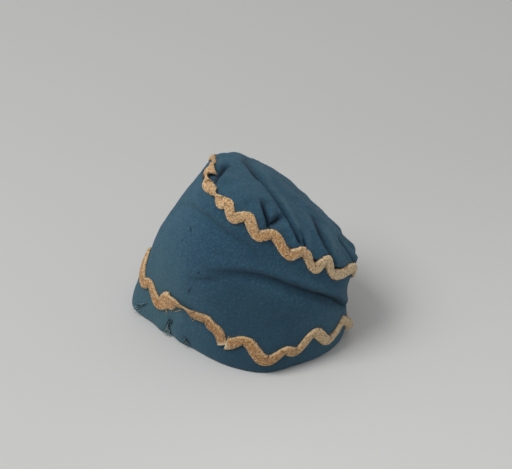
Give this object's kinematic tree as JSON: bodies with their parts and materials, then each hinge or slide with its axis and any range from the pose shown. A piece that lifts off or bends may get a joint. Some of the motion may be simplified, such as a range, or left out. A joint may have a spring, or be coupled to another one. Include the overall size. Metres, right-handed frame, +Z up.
{
  "type": "doll's wool cap",
  "caption": "Soft cloth cap for a doll: tapering side band, puffed crown slumped to one side, and two rounds of waved braid.",
  "frame": {"origin": "on the table, under the middle of the bounding box", "axes": "+Z up from the opening; -Y towards the front; +X towards the side that the crown slopes down to"},
  "size_m": [0.1044, 0.0922, 0.0843],
  "materials": {
    "wool": "dull felted wool, faded grey blue, worn",
    "braid": "waved tan braid, stained, with paler edges"
  },
  "bodies": {
    "root": {"side_band": "wool", "crown": "wool", "upper_braid": "braid", "lower_braid": "braid"}
  },
  "joints": []
}
